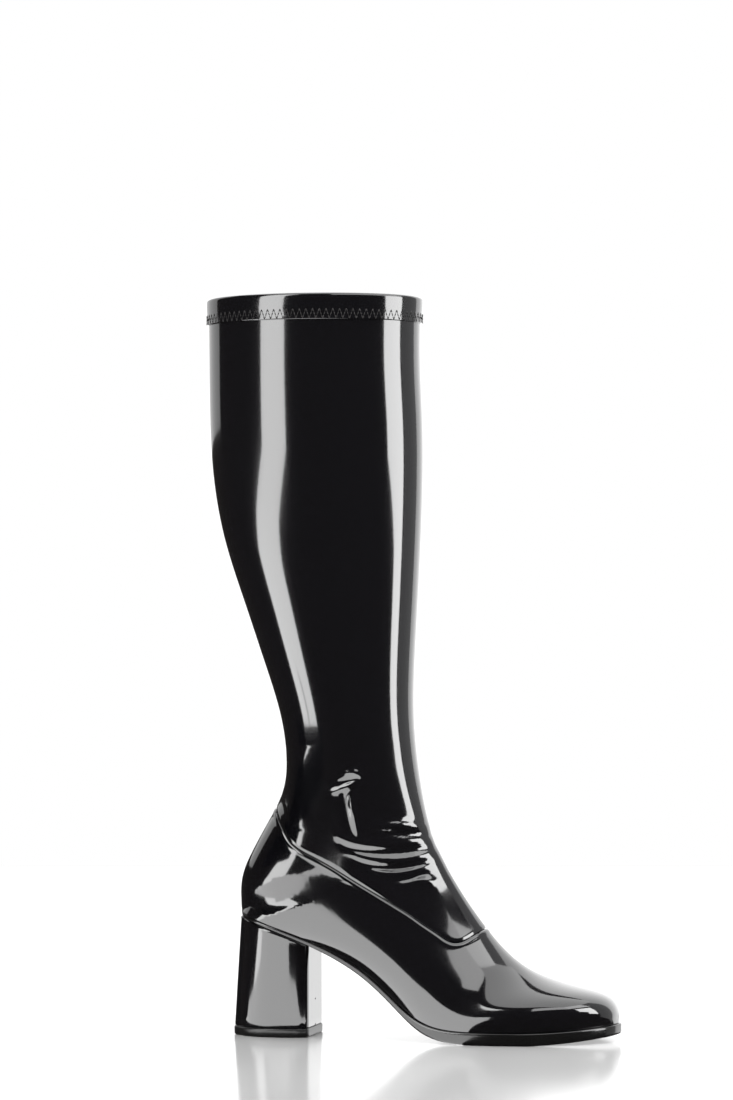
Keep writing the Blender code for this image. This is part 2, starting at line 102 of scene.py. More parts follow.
FEATHER = (
    (0.0000, 0.1740, 0.30),
    (0.0185, 0.1700, 0.30),
    (0.1000, 0.1545, 0.30),
    (0.2150, 0.1330, 0.40),
    (0.3100, 0.1090, 0.50),
    (0.3600, 0.0925, 0.55),
    (0.4380, 0.0585, 0.60),
    (0.4950, 0.0340, 0.70),
    (0.5250, 0.0262, 0.82),
    (0.5650, 0.0205, 0.93),
    (0.6300, 0.0175, 1.03),
    (0.7100, 0.0172, 1.03),
    (0.8000, 0.0176, 1.03),
    (0.8750, 0.0192, 0.97),
    (0.9450, 0.0220, 0.90),
    (1.0000, 0.0248, 0.84),
)
SEAM_COLUMNS = ("x", "z")
SEAM = (
    (0.0740, 0.3480),
    (0.1065, 0.3160),
    (0.1196, 0.3064),
    (0.1412, 0.2900),
    (0.1571, 0.2780),
    (0.1759, 0.2655),
    (0.2020, 0.2552),
    (0.2392, 0.2454),
    (0.2820, 0.2334),
    (0.3310, 0.2177),
    (0.3759, 0.2035),
    (0.4143, 0.1915),
    (0.4563, 0.1784),
    (0.4910, 0.1671),
    (0.5188, 0.1570),
    (0.5473, 0.1474),
    (0.5665, 0.1405),
    (0.5808, 0.1359),
    (0.5984, 0.1335),
    (0.6147, 0.1350),
    (0.6290, 0.1391),
    (0.6420, 0.1439),
)

# Heel block outline halves, from the breast round to the back
HEEL_COLUMNS = ("along", "seat_half", "floor_half")
HEEL = (
    (0.000, 0.185, 0.190),
    (0.006, 0.208, 0.210),
    (0.030, 0.236, 0.234),
    (0.075, 0.256, 0.252),
    (0.140, 0.271, 0.264),
    (0.240, 0.283, 0.274),
    (0.380, 0.290, 0.280),
    (0.540, 0.281, 0.273),
    (0.690, 0.247, 0.243),
    (0.815, 0.196, 0.195),
    (0.910, 0.137, 0.138),
    (0.975, 0.071, 0.072),
    (1.000, 0.000, 0.000),
)

# Folds of the ankle seen from the outer side, each a bent line through three places (x, z in millimetres)
# with its half width and how far it stands out, also in millimetres
# The last column says how much of the fold shows on the inner side
FOLD_COLUMNS = ("x0", "z0", "x1", "z1", "x2", "z2", "width", "height", "inner")
FOLDS = (
    (-20.0, 131.0, -5.0, 132.0, 10.0, 131.0, 2.6, 1.50, 0.7),
    (-21.0, 126.8, -4.0, 127.2, 12.0, 126.2, 2.0, -1.20, 0.7),
    (-40.0, 127.0, -22.0, 120.8, 14.0, 122.8, 2.2, 1.25, 0.7),
    (-38.0, 121.5, -20.0, 116.0, 13.0, 118.4, 1.9, -1.10, 0.7),
    (-32.0, 116.0, -10.0, 110.5, 16.0, 114.5, 2.5, 1.35, 0.7),
    (-28.0, 110.0, -6.0, 105.8, 15.0, 110.0, 1.9, -0.95, 0.5),
    (-20.0, 104.5, -4.0, 103.0, 13.0, 107.0, 2.0, 0.95, 0.5),
    (-10.0, 99.5, 2.0, 99.5, 14.0, 103.0, 1.9, -0.70, 0.5),
    (5.0, 98.5, 12.0, 98.0, 19.0, 95.5, 2.6, 0.95, 0.5),
    (-29.7, 154.5, -29.0, 140.0, -26.0, 125.0, 2.4, 1.40, 0.4),
    (-34.7, 154.5, -34.0, 140.0, -31.0, 125.0, 2.6, -1.05, 0.4),
    (-34.0, 164.5, -27.5, 164.5, -22.5, 161.5, 2.2, 1.40, 0.4),
    (-39.0, 158.2, -32.0, 159.6, -25.0, 162.0, 1.5, -0.90, 0.4),
    (-43.0, 152.5, -34.0, 155.5, -25.0, 160.0, 1.8, 1.00, 0.4),
    (-33.0, 185.0, -22.0, 190.0, -11.0, 193.0, 4.5, 0.55, 0.4),
    (-67.0, 180.0, -66.0, 157.0, -70.0, 132.0, 9.0, 2.3, 0.3),
)

# Cuts of the form
LEAST_HALF = 1e-6  # no section is narrower
FULLEST_EDGE = 0.999  # share of a section's half width that its edge may reach
SEAM_ROWS = (7.0, 22.5)  # rows between which the ankle seam lies
SEAM_HALVINGS = 26  # how often that range is halved to find it
FINE_COLUMNS = 240  # places tried on either half of the seam before they are spaced evenly
BY_TRAVEL = 0.7  # how much a column's place follows the way along the seam
BY_TURN = 0.3  # and how much the way round the leg
CUTS_PER_ROW = 12  # sections cut between two rows to measure a column's length
LEG_STEPS = ((0.70, 40), (0.985, 110), (1.0, 14))  # shares of the way down, and the faces up to there
FOOT_STEPS = ((0.05, 22), (1.0, 108))
LEG_TOP = 0.0015  # the leg's edge under the turn of the hem
MERGE = 0.00002  # vertices nearer than this become one

# Folds and edges
MILLIMETRE = 0.001
FOLD_STEPS = 16  # straight runs along one fold
FOLD_ENDS = 0.15  # what is left of a fold's height at its ends
FOLD_FADE = 0.8  # lower makes a fold end more suddenly
CALM_FROM = 0.0020  # the folds stop this far above the seam
CALM_OVER = 0.0080  # and grow to their height over this length
LEG_DIP = (0.0004, 0.0012)  # depth and half width of the leg's edge turned in at the seam
FOOT_ROLL = (0.0002, 0.0020, 0.0014)  # height, place below the seam and half width of the rolled edge
FOOT_DIP = (0.0007, 0.0008)  # depth and half width of the foot panel's edge turned in
ROLL_REACH = 0.0120  # the roll is left out further below the seam

# The soft bend over the heel's seat: a level line that rises towards the toe, smoothed on both sides
SEAT_BACK = -0.1088
SEAT_LEVEL = 0.0784
SEAT_RISE = 0.32
SEAT_REACH = 0.0090
SEAT_ABOVE_SOLE = 0.0060
SEAT_BELOW_SEAM = 0.0040
SEAT_PASSES = 100

# Small roundings of the hem, the sole, the insole, the heel and the top piece
HEM_STEPS = 180  # round the collar
HEM_RUNS = 8  # up the hem's outer side
HEM_ARC = 12  # over the rim
HEM_TURN = 0.0012  # thickness of the turn over the rim
HEM_EDGE = ((0.0003, 0.0), (0.00005, 0.00025))  # inset and height of the rounding at the hem's lower edge
HEM_ROUND = 0.0006  # height of that rounding
STITCH_DENT = (0.00036, 0.0042)  # depth and half width of the dent along the zigzag
THREAD = (0.00032, 0.00026)  # half width and half height of the thread
THREAD_REACH = 0.56  # half length of one run of thread, as a share of the way between its knots
THREAD_SUNK = 0.00030  # how deep its middle lies in the hem
ZIGZAG = (0.0, 1.0 / 3.0, 2.0 / 3.0, 1.0, 2.0 / 3.0, 1.0 / 3.0)  # share of its rise at each knot
SOLE_PROFILE = (  # share of the sole's thickness below its top, and inset from its edge
    (0.00, 0.00300),
    (0.00, 0.00080),
    (0.03, 0.00030),
    (0.10, 0.00005),
    (0.25, 0.00000),
    (0.50, 0.00000),
    (0.72, 0.00000),
    (0.84, 0.00012),
    (0.93, 0.00045),
    (0.98, 0.00090),
    (1.00, 0.00150),
    (1.00, 0.00400),
)
SOLE_STATIONS = 140
SOLE_TUCK = 0.0003  # how far in the sole's edge stays over the heel
LIP_FROM = 0.24  # share of the length where the edge begins to stand out
LIP_OVER = 0.30  # and the share it takes to stand out in full
INSOLE_STATIONS = 100
INSOLE_PLAY = 0.0040  # room between the insole and the wall beside it
INSOLE_LIFT = 0.0002
INSOLE_PROFILE = ((0.0, 0.0), (0.7, 0.0), (1.0, 0.0005))  # share of its thickness up, and inset
HEEL_STEPS = 48
HEEL_LOW = ((0.0, -0.0010), (0.0, -0.0005), (0.004, -0.0001), (0.012, 0.0))  # share of its height up, grow
HEEL_HIGH = ((0.965, 0.0), (0.985, 0.0001), (0.995, -0.0002), (1.0, -0.0008))
HEEL_MIDDLE = tuple((0.1 + 0.09 * k, 0.0) for k in range(10))
LIFT_LOW = ((0.0, -0.0012), (0.0, -0.0006), (0.0003, -0.0001), (0.0008, 0.0002))  # height, grow
LIFT_HIGH = ((0.0008, 0.0003), (0.0002, 0.0001), (0.0, -0.0004), (0.0, -0.0012))  # depth, grow
HEEL_LEAN = 0.0175  # how far in the heel's back lies at the seat, as a share of the sole
BREAST_CORNER = 0.97  # the breast is a little narrower than the block behind it
BACK_START = 0.15  # spacing of the outline's places from the breast round to the back
BACK_POWER = 1.15
# Nail holes in the heel's breast: their heights, and the size of the thin dark discs that carry their
# painted shade
PINHOLES = (0.0225, 0.0066)
PINHOLE_RADIUS = 0.0006
PINHOLE_DEPTH = 0.0001

# Tall lights and the dark flag: height, and the directions each spans there, 0 being towards the camera
LEFT_SOFTBOX = (
    (-0.20, -79.0, -55.0),
    (-0.08, -78.0, -54.0),
    (0.05, -76.0, -53.0),
    (0.19, -69.0, -48.0),
    (0.36, -57.0, -37.0),
    (0.60, -56.0, -36.0),
    (1.70, -50.0, -28.0),
)
FLAG = (
    (0.117, -84.0, -54.0),
    (0.131, -84.0, -52.0),
    (0.137, -84.0, -41.0),
    (0.172, -84.0, -40.0),
)
RIGHT_SOFTBOX = (
    (-0.02, 66.0, 81.0),
    (0.25, 66.0, 81.0),
    (0.40, 54.0, 81.0),
    (1.00, 54.0, 82.0),
)
SIDE_WALL = ((-0.5, 84.0, 119.0), (2.2, 84.0, 119.0))
FRONT_CARD = ((1.15, 0.0, 50.0), (2.2, 0.0, 50.0))
FOLD_CARD = ((1.22, 50.0, 92.0), (2.0, 50.0, 92.0))

# Floor, paper and overhead light, in metres right of and nearer than the boot, seen from the camera
FLOOR = ((-0.9, 0.70), (0.9, 0.70), (0.9, -1.75), (-0.9, -1.75))
PAPER_BACK = ((-0.45, 0.0), (-0.20, -0.02), (-0.09, 0.03), (0.033, 0.045))
PAPER_START = (-0.124, 0.356, 0.0)
PAPER_END = (-0.684, 0.256, 0.0)
PAPER_STEPS = 90
PAPER_RAGGED = (40.0, 0.03)  # how fine and how deep the paper's front edge is torn
LIP_RAGGED = (60.0, 170.0, 0.012)  # two finenesses and the height of the tears along its lip
PAPER_DROP = 0.0006  # the paper lies this far under the floor
OVERHEAD = ((-0.9, 1.3), (-1.2, 0.8))
OVERHEAD_HEIGHT = 2.0
LIGHT_DISTANCE = 1.3
FLAG_DISTANCE = 0.14
WALL_DISTANCE = 1.6
SWEEP_DISTANCE = 1.9
SWEEP_TOP = 2.4
SWEEP_STEPS = 9
CARD_MERGE = 0.0001
BOOT_CENTRE = Vector((-0.05, 0.0, 0.0))

# Camera: where along the boot it looks, and how far its picture is shifted
CAMERA_AIM = 0.0105
CAMERA_SHIFT = (-0.0559, 0.0864)


def natural_spline(xs, ys):
    """Second derivatives of the natural cubic spline through the points."""
    n = len(xs)
    a = np.zeros((n, n))
    b = np.zeros(n)
    a[0, 0] = a[-1, -1] = 1.0
    for i in range(1, n - 1):
        h0 = xs[i] - xs[i - 1]
        h1 = xs[i + 1] - xs[i]
        a[i, i - 1] = h0
        a[i, i] = 2.0 * (h0 + h1)
        a[i, i + 1] = h1
        b[i] = 6.0 * ((ys[i + 1] - ys[i]) / h1 - (ys[i] - ys[i - 1]) / h0)
    return np.linalg.solve(a, b)


class Curve:
    """A smooth line through a table's points, run on straight past both ends if asked."""

    def __init__(self, xs, ys, run_on=False):
        self.xs = [float(v) for v in xs]
        self.ys = [float(v) for v in ys]
        self.bend = natural_spline(self.xs, self.ys)
        self.run_on = run_on

    def at(self, x):
        low = self.xs[0]
        high = self.xs[-1]
        near = 1e-4
        if self.run_on and x < low:
            slope = (self.inside(low + near) - self.ys[0]) / near
            return self.ys[0] + slope * (x - low)
        if self.run_on and x > high:
            slope = (self.ys[-1] - self.inside(high - near)) / near
            return self.ys[-1] + slope * (x - high)
        return self.inside(min(max(x, low), high))

    def inside(self, x):
        i = 0
        while i < len(self.xs) - 2 and x > self.xs[i + 1]:
            i += 1
        h = self.xs[i + 1] - self.xs[i]
        p = (self.xs[i + 1] - x) / h
        q = (x - self.xs[i]) / h
        swell = (p ** 3 - p) * self.bend[i] + (q ** 3 - q) * self.bend[i + 1]
        return p * self.ys[i] + q * self.ys[i + 1] + swell * h * h / 6.0


def column(table, names, name):
    index = names.index(name)
    return [row[index] for row in table]


def joined(leg_name, foot_name):
    """A column that runs on from the leg's table into the foot's."""
    return column(LEG, LEG_COLUMNS, leg_name) + column(FOOT, FOOT_COLUMNS, foot_name)[1:]


LAST_LEG = len(LEG) - 1
LAST_ROW = LAST_LEG + len(FOOT) - 1
ROWS = list(range(LAST_ROW + 1))
FOOT_ROWS = list(range(LAST_LEG, LAST_ROW + 1))
LEG_ROWS = list(range(LAST_LEG + 1))
FRONT_X = Curve(ROWS, joined("front_x", "top_x"))
FRONT_Z = Curve(ROWS, joined("front_z", "top_z"))
OUTER_HALF = Curve(ROWS, joined("half", "outer_half"))
INNER_HALF = Curve(ROWS, joined("half", "inner_half"))
WIDEST = Curve(ROWS, joined("widest", "widest"))
POWER = Curve(ROWS, joined("upper_power", "upper_power"))
BACK_X = Curve(LEG_ROWS, column(LEG, LEG_COLUMNS, "back_x"))
BACK_Z = Curve(LEG_ROWS, column(LEG, LEG_COLUMNS, "back_z"))
FOOT_X = Curve(FOOT_ROWS, column(FOOT, FOOT_COLUMNS, "foot_x"))
OUTER_EDGE = Curve(FOOT_ROWS, column(FOOT, FOOT_COLUMNS, "outer_edge"))
INNER_EDGE = Curve(FOOT_ROWS, column(FOOT, FOOT_COLUMNS, "inner_edge"))
RIDGE = Curve(ROWS, [0.0] * LAST_LEG + column(FOOT, FOOT_COLUMNS, "ridge"))
FEATHER_Z = Curve(column(FEATHER, FEATHER_COLUMNS, "x"), column(FEATHER, FEATHER_COLUMNS, "feather_z"))
SOLE_THICK = Curve(column(FEATHER, FEATHER_COLUMNS, "x"), column(FEATHER, FEATHER_COLUMNS, "sole_thick"))
SEAM_Z = Curve(column(SEAM, SEAM_COLUMNS, "x"), column(SEAM, SEAM_COLUMNS, "z"), run_on=True)
SEAT_HALF = Curve(column(HEEL, HEEL_COLUMNS, "along"), column(HEEL, HEEL_COLUMNS, "seat_half"))
FLOOR_HALF = Curve(column(HEEL, HEEL_COLUMNS, "along"), column(HEEL, HEEL_COLUMNS, "floor_half"))


class BootSettings(PropertyGroup):
    height: FloatProperty(name="Height", description="Floor to the rim", default=0.4585, unit="LENGTH")
    sole_length: FloatProperty(
        name="Sole length", description="Heel back to toe tip", default=0.245, unit="LENGTH"
    )
    ball_width: FloatProperty(
        name="Ball width", description="Width of the foot at the ball", default=0.0845, unit="LENGTH"
    )
    heel_back: FloatProperty(
        name="Heel back", description="Place of the heel's back edge", default=-0.1133, unit="LENGTH"
    )
    upper_wall: FloatProperty(
        name="Upper wall", description="Thickness of the foot panel", default=0.0016, unit="LENGTH"
    )
    leg_wall: FloatProperty(
        name="Leg wall", description="Thickness of the leg", default=0.0012, unit="LENGTH"
    )
    gap: FloatProperty(name="Gap", description="Play between neighbours", default=0.0003, unit="LENGTH")
    around_steps: IntProperty(
        name="Around", description="Faces from one edge round to the other", default=260
    )
    black: FloatVectorProperty(
        name="Patent", description="Colour of the patent", default=(0.004, 0.004, 0.005), subtype="COLOR"
    )


class HemSettings(PropertyGroup):
    band: FloatProperty(name="Band", description="Height of the turned hem", default=0.0160, unit="LENGTH")
    layer: FloatProperty(
        name="Layer", description="Thickness of the turned layer", default=0.0010, unit="LENGTH"
    )
    stitch_line: FloatProperty(
        name="Stitch line", description="Zigzag's centre below the rim", default=0.0127, unit="LENGTH"
    )
    stitch_rise: FloatProperty(
        name="Stitch rise", description="Height of the zigzag", default=0.0062, unit="LENGTH"
    )
    stitch_pitch: FloatProperty(
        name="Stitch pitch", description="Length of one zigzag", default=0.0041, unit="LENGTH"
    )


class SoleSettings(PropertyGroup):
    edge: FloatProperty(
        name="Edge", description="Thickness of the forefoot's edge", default=0.0075, unit="LENGTH"
    )
    lip: FloatProperty(name="Lip", description="How far the edge stands out", default=0.0014, unit="LENGTH")
    insole: FloatProperty(
        name="Insole", description="Thickness of the insole", default=0.0020, unit="LENGTH"
    )
    lift: FloatProperty(
        name="Top piece", description="Thickness of the top piece", default=0.0055, unit="LENGTH"
    )
    breast: FloatProperty(name="Breast", description="Heel's front face, share of the sole", default=0.211)


class StageSettings(PropertyGroup):
    distance: FloatProperty(name="Distance", description="Camera to boot", default=2.300, unit="LENGTH")
    eye: FloatProperty(
        name="Eye height", description="Camera above the floor", default=0.243, unit="LENGTH"
    )
    turn: FloatProperty(
        name="Turn",
        description="Camera round towards the toe",
        default=math.radians(13.0),
        subtype="ANGLE",
    )
    lens: FloatProperty(name="Lens", description="Focal length in millimetres", default=121.5)
    backdrop: FloatProperty(name="Backdrop", description="Brightness of the sweep behind", default=1.6)
    softbox: FloatProperty(name="Softbox", description="Brightness of the tall lights", default=8.5)
    floor_glow: FloatProperty(
        name="Floor", description="Brightness of the floor in what the boot mirrors", default=4.0
    )
    lip: FloatProperty(
        name="Paper edge",
        description="Height the paper stands up at its front",
        default=0.057,
        unit="LENGTH",
    )


def boot():
    return bpy.context.scene.boot_form


def place_x(share):
    return boot().heel_back + share * boot().sole_length


def share_x(x):
    return (x - boot().heel_back) / boot().sole_length


def section(row):
    """Everything one section of the form needs, read once for a whole row."""
    form = boot()
    top = (place_x(FRONT_X.at(row)), FRONT_Z.at(row) * form.height)
    ridge = RIDGE.at(row)
    if row <= LAST_LEG:
        end = (place_x(BACK_X.at(row)), BACK_Z.at(row) * form.height)
        edges = (0.0, 0.0)
    else:
        share = FOOT_X.at(row)
        end = (place_x(share), FEATHER_Z.at(share) * form.height)
        edges = (OUTER_EDGE.at(row) + ridge, INNER_EDGE.at(row) - ridge)
    halves = (OUTER_HALF.at(row) + ridge, INNER_HALF.at(row) - ridge)
    return top, end, edges, halves, ridge, WIDEST.at(row), 2.0 / POWER.at(row)


def on_section(cut, around):
    """A point of one section: outer edge at -1, front at 0, inner edge at 1."""
    top, end, edges, halves, ridge, widest, power = cut
    side = 1 if around >= 0.0 else 0
    half = max(halves[side], LEAST_HALF)
    edge = edges[side]
    share = min(max(edge / half, 0.0), FULLEST_EDGE)
    turn = abs(around)
    if turn <= 0.5:
        angle = math.pi * turn
        up = widest + (1.0 - widest) * max(math.cos(angle), 0.0) ** power
        out = half * math.sin(angle) ** power
    else:
        reach = math.sqrt(1.0 - share * share)
        angle = (turn - 0.5) / 0.5 * math.asin(reach)
        up = widest * (1.0 - math.sin(angle) / reach)
        out = half * math.cos(angle)
    if turn >= 1.0:
        up = 0.0
        out = edge
    x = end[0] + up * (top[0] - end[0])
    z = end[1] + up * (top[1] - end[1])
    y = (ridge + (out if side else -out)) * boot().ball_width
    return Vector((x, y, z))


def boot_point(row, around):
    return on_section(section(row), around)


def form_grid(lines, arounds):
    """A grid laid over the boot's form; each line gives the row at every place around."""
    bm = bmesh.new()
    bmesh.ops.create_grid(bm, x_segments=len(arounds) - 1, y_segments=len(lines) - 1, size=0.5)
    for v in bm.verts:
        j = round((v.co.x + 0.5) * (len(arounds) - 1))
        i = round((0.5 - v.co.y) * (len(lines) - 1))
        v.co = boot_point(lines[i][j], arounds[j])
    bmesh.ops.remove_doubles(bm, verts=bm.verts, dist=MERGE)
    bmesh.ops.recalc_face_normals(bm, faces=bm.faces)
    return bm


def first_row_drop():
    """Height from the rim to the form's second section."""
    return boot().height * (LEG[0][1] - LEG[1][1])


def seam_height(x):
    return SEAM_Z.at(share_x(x)) * boot().height


def below_seam(co):
    """Distance below the seam seen from the side, in metres."""
    near = 0.0005
    slope = (seam_height(co.x + near) - seam_height(co.x - near)) / (2.0 * near)
    return (seam_height(co.x) - co.z) / math.hypot(1.0, slope)


def seam_row(around, offset):
    """The row where the seam crosses this place around, shifted down by the offset."""
    high, low = SEAM_ROWS
    for _ in range(SEAM_HALVINGS):
        middle = 0.5 * (high + low)
        if below_seam(boot_point(middle, around)) > offset:
            low = middle
        else:
            high = middle
    return 0.5 * (high + low)


def graded(stretches):
    """Steps from 0 to 1; each stretch is where it ends and how many steps it has."""
    steps = [0.0]
    for end, count in stretches:
        first = steps[-1]
        steps += [first + (end - first) * (i + 1) / count for i in range(count)]
    return steps


def even_columns(count, offset):
    """Places around, nearly evenly far apart along the seam, with one at the front."""
    places = []
    for first in (-1.0, 0.0):
        fine = [first + i / FINE_COLUMNS for i in range(FINE_COLUMNS + 1)]
        line = [boot_point(seam_row(a, offset), a) for a in fine]
        travel = np.cumsum([0.0] + [(b - a).length for a, b in zip(line, line[1:])])
        measure = BY_TRAVEL * travel / travel[-1] + BY_TURN * np.linspace(0.0, 1.0, len(fine))
        places += [float(a) for a in np.interp(np.linspace(0.0, 1.0, count // 2 + 1), measure, fine)]
    del places[count // 2]
    return places


def measured_rows(arounds, firsts, lasts, steps):
    """The rows of a grid whose steps are shares of each column's own length."""
    rows = np.linspace(0.0, LAST_ROW, CUTS_PER_ROW * LAST_ROW + 1)
    cuts = [section(row) for row in rows]
    columns = []
    for around, first, last in zip(arounds, firsts, lasts):
        line = [on_section(cut, around) for cut in cuts]
        travel = np.cumsum([0.0] + [(b - a).length for a, b in zip(line, line[1:])])
        ends = np.interp((first, last), rows, travel)
        columns.append(np.interp(ends[0] + (ends[1] - ends[0]) * np.array(steps), travel, rows))
    return [[float(row) for row in line] for line in np.array(columns).T]


def group_input(group, name, default):
    made = group.interface.new_socket(name, in_out="INPUT", socket_type="NodeSocketFloat")
    made.default_value = default


def waviness_group():
    """Slow waves and fine grain of a pulled patent skin, as a normal."""
    name = "patent skin"
    if name in bpy.data.node_groups:
        return bpy.data.node_groups[name]
    group = bpy.data.node_groups.new(name, "ShaderNodeTree")
    group_input(group, "Wave size", 30.0)
    group_input(group, "Wave height", 0.1)
    group_input(group, "Grain height", 0.02)
    group.interface.new_socket("Normal", in_out="OUTPUT", socket_type="NodeSocketVector")
    enter = group.nodes.new("NodeGroupInput")
    leave = group.nodes.new("NodeGroupOutput")
    where = group.nodes.new("ShaderNodeTexCoord")
    waves = group.nodes.new("ShaderNodeTexNoise")
    waves.inputs["Detail"].default_value = 1.5
    waves.inputs["Roughness"].default_value = 0.45
    grain = group.nodes.new("ShaderNodeTexNoise")
    grain.inputs["Scale"].default_value = 420.0
    grain.inputs["Detail"].default_value = 2.0
    slow = group.nodes.new("ShaderNodeBump")
    slow.inputs["Distance"].default_value = 0.001
    fine = group.nodes.new("ShaderNodeBump")
    fine.inputs["Distance"].default_value = 0.0002
    link = group.links.new
    link(where.outputs["Object"], waves.inputs["Vector"])
    link(where.outputs["Object"], grain.inputs["Vector"])
    link(enter.outputs["Wave size"], waves.inputs["Scale"])
    link(waves.outputs["Fac"], slow.inputs["Height"])
    link(enter.outputs["Wave height"], slow.inputs["Strength"])
    link(grain.outputs["Fac"], fine.inputs["Height"])
    link(enter.outputs["Grain height"], fine.inputs["Strength"])
    link(slow.outputs["Normal"], fine.inputs["Normal"])
    link(fine.outputs["Normal"], leave.inputs["Normal"])
    return group


def new_material(name, colour, roughness, coat=0.0, specular=0.5, waves=None):
    """A Principled material; waves gives wave size, wave height and grain height."""
    if name in bpy.data.materials:
        return bpy.data.materials[name]
    material = bpy.data.materials.new(name)
    material.use_nodes = True
    nodes = material.node_tree.nodes
    shader = nodes["Principled BSDF"]
    shader.inputs["Base Color"].default_value = (*colour, 1.0)
    shader.inputs["Roughness"].default_value = roughness
    shader.inputs["Specular IOR Level"].default_value = specular
    shader.inputs["Coat Weight"].default_value = coat
    shader.inputs["Coat Roughness"].default_value = 0.05
    if waves:
        skin = nodes.new("ShaderNodeGroup")
        skin.node_tree = waviness_group()
        skin.inputs["Wave size"].default_value = waves[0]
        skin.inputs["Wave height"].default_value = waves[1]
        skin.inputs["Grain height"].default_value = waves[2]
        material.node_tree.links.new(skin.outputs["Normal"], shader.inputs["Normal"])
    return material


def foot_patent():
    return new_material("foot patent", boot().black, 0.10, coat=1.0, waves=(26.0, 0.30, 0.05))


def leg_patent():
    return new_material("leg patent", boot().black, 0.11, coat=1.0, waves=(14.0, 0.16, 0.05))


def heel_patent():
    return new_material("heel patent", boot().black, 0.10, coat=1.0, waves=(20.0, 0.08, 0.05))


def new_object(bm, name, material, smooth=True):
    """Turns the mesh into an object of the scene."""
    mesh = bpy.data.meshes.new(name)
    bm.to_mesh(mesh)
    bm.free()
    for polygon in mesh.polygons:
        polygon.use_smooth = smooth
    mesh.materials.append(material)
    made = bpy.data.objects.new(name, mesh)
    bpy.context.scene.collection.objects.link(made)
    return made


def finish_piece(bm, name, material, nodes, smooth=True):
    """Turns the mesh into a piece riding on the frame, in place of the nodes named."""
    piece = new_object(bm, name, material, smooth)
    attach(piece, "root")
    if nodes:
        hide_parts(*nodes)
    return piece


def add_wall(piece, thickness):
    wall = piece.modifiers.new("wall", "SOLIDIFY")
    wall.thickness = thickness
    wall.offset = -1.0
    wall.use_even_offset = True
    wall.use_quality_normals = True


def fold_line(x0, z0, x1, z1, x2, z2):
    """Points in metres along a fold that bends through its middle place."""
    pull_x = 2.0 * x1 - 0.5 * (x0 + x2)
    pull_z = 2.0 * z1 - 0.5 * (z0 + z2)
    line = []
    for k in range(FOLD_STEPS + 1):
        t = k / FOLD_STEPS
        first, middle, last = (1.0 - t) * (1.0 - t), 2.0 * t * (1.0 - t), t * t
        line.append((first * x0 + middle * pull_x + last * x2, first * z0 + middle * pull_z + last * z2))
    return np.array(line) * MILLIMETRE


def nearest_on_line(places, line):
    """How far each place lies from the line seen from the side, and where along it, from 0 to 1."""
    best = np.full(len(places), np.inf)
    where = np.zeros(len(places))
    for k in range(FOLD_STEPS):
        run = line[k + 1] - line[k]
        from_x = places[:, 0] - line[k][0]
        from_z = places[:, 2] - line[k][1]
        t = np.clip((from_x * run[0] + from_z * run[1]) / (run @ run), 0.0, 1.0)
        away = np.hypot(from_x - t * run[0], from_z - t * run[1])
        closer = away < best
        best = np.where(closer, away, best)
        where = np.where(closer, (k + t) / FOLD_STEPS, where)
    return best, where


def fold_push(places):
    """How far the ankle's folds push the leg's skin out at each of these places."""
    push = np.zeros(len(places))
    on_inner = places[:, 1] > 0.0
    for row in FOLDS:
        fold = dict(zip(FOLD_COLUMNS, row))
        away, where = nearest_on_line(places, fold_line(*row[:6]))
        fade = np.sin(math.pi * np.clip(where, 0.0, 1.0)) ** FOLD_FADE
        shape = np.exp(-((away / (MILLIMETRE * fold["width"])) ** 2))
        tall = MILLIMETRE * fold["height"] * (FOLD_ENDS + (1.0 - FOLD_ENDS) * fade)
        push += tall * shape * np.where(on_inner, fold["inner"], 1.0)
    return push


def hump(distance, height, width):
    """A soft ridge's height at this distance from its middle."""
    return height * math.exp(-((distance / width) ** 2))


def shape_leg(bm):
    """Folds at the ankle and the edge that turns in at the seam."""
    bm.normal_update()
    places = np.array([v.co for v in bm.verts])
    push = fold_push(places)
    for v, out in zip(bm.verts, push):
        down = below_seam(v.co)
        calm = min(max((-down - CALM_FROM) / CALM_OVER, 0.0), 1.0)
        v.co += v.normal * (float(out) * calm - hump(down, *LEG_DIP))


def shape_foot(bm):
    """The foot panel's rolled edge along the seam, and a soft bend where the heel's seat begins."""
    bend = []
    for v in bm.verts:
        level = SEAT_LEVEL + SEAT_RISE * (v.co.x - SEAT_BACK)
        low = FEATHER_Z.at(share_x(v.co.x)) * boot().height + SEAT_ABOVE_SOLE
        if abs(v.co.z - level) < SEAT_REACH and v.co.z > low and below_seam(v.co) > SEAT_BELOW_SEAM:
            bend.append(v)
    for _ in range(SEAT_PASSES):
        bmesh.ops.smooth_vert(bm, verts=bend, factor=0.5, use_axis_x=True, use_axis_y=True, use_axis_z=True)
    bm.normal_update()
    roll_height, roll_place, roll_width = FOOT_ROLL
    moves = []
    for v in bm.verts:
        down = below_seam(v.co)
        push = hump(down - roll_place, roll_height, roll_width) if down < ROLL_REACH else 0.0
        moves.append(v.normal * (push - hump(down, *FOOT_DIP)))
    for v, move in zip(bm.verts, moves):
        v.co += move


class BOOT_OT_leg(Operator):
    """Stretch leg from the hem down to the ankle seam, creased at the ankle"""

    bl_idname = "boot.leg"
    bl_label = "Leg"

    def execute(self, context):
        form = boot()
        arounds = even_columns(form.around_steps, -0.5 * form.gap)
        first = [LEG_TOP / first_row_drop()] * len(arounds)
        last = [seam_row(a, -0.5 * form.gap) for a in arounds]
        bm = form_grid(measured_rows(arounds, first, last, graded(LEG_STEPS)), arounds)
        shape_leg(bm)
        piece = finish_piece(bm, "leg", leg_patent(), ["shaft"])
        add_wall(piece, form.leg_wall)
        return {"FINISHED"}


